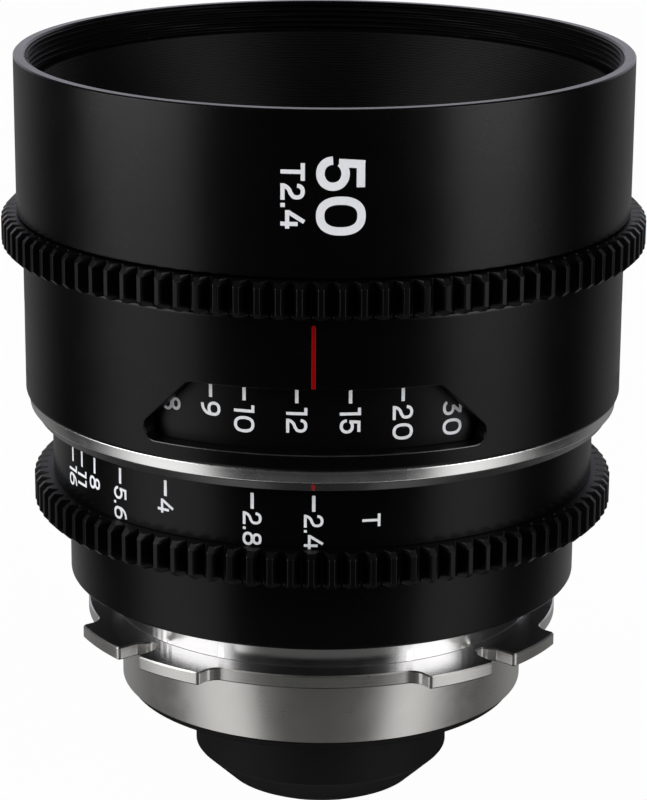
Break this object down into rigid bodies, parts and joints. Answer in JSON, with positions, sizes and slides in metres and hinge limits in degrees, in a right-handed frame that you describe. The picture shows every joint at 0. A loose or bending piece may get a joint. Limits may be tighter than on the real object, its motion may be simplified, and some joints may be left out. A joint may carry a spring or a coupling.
{
  "type": "cinema prime lens",
  "caption": "Black cinema prime lens with geared focus and iris rings, a scale window, a filter-threaded front bell and a steel four-tab bayonet mount.",
  "frame": {"origin": "centre of the mount's seat, the rear face of the tabbed flange", "axes": "+Z along the optical axis to the front of the lens, -Y through the index line"},
  "size_m": [0.084, 0.084, 0.1],
  "materials": {
    "black_anodised": "fine-blasted black anodised aluminium, satin",
    "polished_black": "black anodised aluminium with a polished chamfer",
    "matt_black": "deep matt black anodised aluminium against stray light",
    "turned_aluminium": "bright turned aluminium",
    "stainless_steel": "turned and satin-polished stainless steel",
    "bright_steel": "ground steel",
    "black_screw": "blackened steel",
    "brass_shim": "rolled brass",
    "bronze": "turned bronze",
    "slide_plastic": "low-friction plastic",
    "coated_glass": "polished optical glass with a thin anti-reflection coat",
    "blued_blade": "blackened spring-steel leaf"
  },
  "bodies": {
    "barrel": {"bayonet_mount": "stainless_steel", "mount_shim": "brass_shim", "mount_screws": "black_screw", "rear_body": "black_anodised", "rear_sleeve": "black_anodised", "rear_sleeve_screws": "black_screw", "iris_housing": "matt_black", "iris_cover": "matt_black", "guide_tube": "black_anodised", "guide_tube_screws": "black_screw", "accent_ring": "turned_aluminium", "index_ring": "polished_black", "main_barrel": "black_anodised", "main_barrel_screws": "black_screw", "front_bell": "black_anodised", "bell_lock_ring": "black_anodised", "front_baffle": "matt_black", "rear_cell": "matt_black", "rear_cell_screws": "black_screw", "fifth_element": "coated_glass", "sixth_element": "coated_glass", "fifth_retaining_ring": "black_anodised", "seventh_element": "coated_glass", "rear_spacer_tube": "matt_black", "rear_element": "coated_glass", "rear_nose_ring": "matt_black", "lower_thrust_washer": "slide_plastic", "upper_thrust_washer": "slide_plastic"},
    "focus_ring": {"focus_gear_ring": "black_anodised", "gear_ring_screws": "black_screw", "focus_scale_drum": "black_anodised", "scale_drum_screws": "black_screw", "focus_sleeve": "bronze"},
    "focus_group": {"focus_carrier": "black_anodised", "follower_pins": "bright_steel", "follower_rollers": "bronze", "front_cell": "matt_black", "front_cell_screws": "black_screw", "front_element": "coated_glass", "front_retaining_ring": "black_anodised", "second_element": "coated_glass", "second_retaining_ring": "black_anodised", "third_element": "coated_glass", "fourth_element": "coated_glass", "fourth_retaining_ring": "black_anodised"},
    "iris_ring": {"iris_scale_ring": "black_anodised", "iris_gear_ring": "black_anodised", "iris_drive_screw": "black_screw", "iris_cam_ring": "black_anodised"},
    "iris_blade_01": {"iris_blade_01": "blued_blade"},
    "iris_blade_02": {"iris_blade_02": "blued_blade"},
    "iris_blade_03": {"iris_blade_03": "blued_blade"},
    "iris_blade_04": {"iris_blade_04": "blued_blade"},
    "iris_blade_05": {"iris_blade_05": "blued_blade"},
    "iris_blade_06": {"iris_blade_06": "blued_blade"},
    "iris_blade_07": {"iris_blade_07": "blued_blade"},
    "iris_blade_08": {"iris_blade_08": "blued_blade"},
    "iris_blade_09": {"iris_blade_09": "blued_blade"},
    "iris_blade_10": {"iris_blade_10": "blued_blade"}
  },
  "joints": [
    {"name": "focus_turn", "type": "hinge", "parent": "barrel", "child": "focus_ring", "pos_m": [0, 0, 0.053], "axis": [0, 0, 1], "range_deg": [-50, 250]},
    {"name": "focus_slide", "type": "slide", "parent": "barrel", "child": "focus_group", "axis": [0, 0, 1], "range_m": [-0.00077, 0.00384]},
    {"name": "iris_turn", "type": "hinge", "parent": "barrel", "child": "iris_ring", "pos_m": [0, 0, 0.022], "axis": [0, 0, 1], "range_deg": [0, 66]},
    {"name": "blade_pivot_01", "type": "hinge", "parent": "barrel", "child": "iris_blade_01", "pos_m": [0.01735, 0, 0.023], "axis": [0, 0, 1], "range_deg": [0, 29.05]},
    {"name": "blade_pivot_02", "type": "hinge", "parent": "barrel", "child": "iris_blade_02", "pos_m": [0.01404, 0.0102, 0.023], "axis": [0, 0, 1], "range_deg": [0, 29.05]},
    {"name": "blade_pivot_03", "type": "hinge", "parent": "barrel", "child": "iris_blade_03", "pos_m": [0.00536, 0.0165, 0.023], "axis": [0, 0, 1], "range_deg": [0, 29.05]},
    {"name": "blade_pivot_04", "type": "hinge", "parent": "barrel", "child": "iris_blade_04", "pos_m": [-0.00536, 0.0165, 0.023], "axis": [0, 0, 1], "range_deg": [0, 29.05]},
    {"name": "blade_pivot_05", "type": "hinge", "parent": "barrel", "child": "iris_blade_05", "pos_m": [-0.01404, 0.0102, 0.023], "axis": [0, 0, 1], "range_deg": [0, 29.05]},
    {"name": "blade_pivot_06", "type": "hinge", "parent": "barrel", "child": "iris_blade_06", "pos_m": [-0.01735, 0, 0.023], "axis": [0, 0, 1], "range_deg": [0, 29.05]},
    {"name": "blade_pivot_07", "type": "hinge", "parent": "barrel", "child": "iris_blade_07", "pos_m": [-0.01404, -0.0102, 0.023], "axis": [0, 0, 1], "range_deg": [0, 29.05]},
    {"name": "blade_pivot_08", "type": "hinge", "parent": "barrel", "child": "iris_blade_08", "pos_m": [-0.00536, -0.0165, 0.023], "axis": [0, 0, 1], "range_deg": [0, 29.05]},
    {"name": "blade_pivot_09", "type": "hinge", "parent": "barrel", "child": "iris_blade_09", "pos_m": [0.00536, -0.0165, 0.023], "axis": [0, 0, 1], "range_deg": [0, 29.05]},
    {"name": "blade_pivot_10", "type": "hinge", "parent": "barrel", "child": "iris_blade_10", "pos_m": [0.01404, -0.0102, 0.023], "axis": [0, 0, 1], "range_deg": [0, 29.05]}
  ],
  "couplings": [
    {"joint": "focus_slide", "follows": "focus_turn", "m_per_rad": 0.00087853},
    {"joint": "blade_pivot_01", "follows": "iris_turn", "ratio": 0.44},
    {"joint": "blade_pivot_02", "follows": "iris_turn", "ratio": 0.44},
    {"joint": "blade_pivot_03", "follows": "iris_turn", "ratio": 0.44},
    {"joint": "blade_pivot_04", "follows": "iris_turn", "ratio": 0.44},
    {"joint": "blade_pivot_05", "follows": "iris_turn", "ratio": 0.44},
    {"joint": "blade_pivot_06", "follows": "iris_turn", "ratio": 0.44},
    {"joint": "blade_pivot_07", "follows": "iris_turn", "ratio": 0.44},
    {"joint": "blade_pivot_08", "follows": "iris_turn", "ratio": 0.44},
    {"joint": "blade_pivot_09", "follows": "iris_turn", "ratio": 0.44},
    {"joint": "blade_pivot_10", "follows": "iris_turn", "ratio": 0.44}
  ]
}
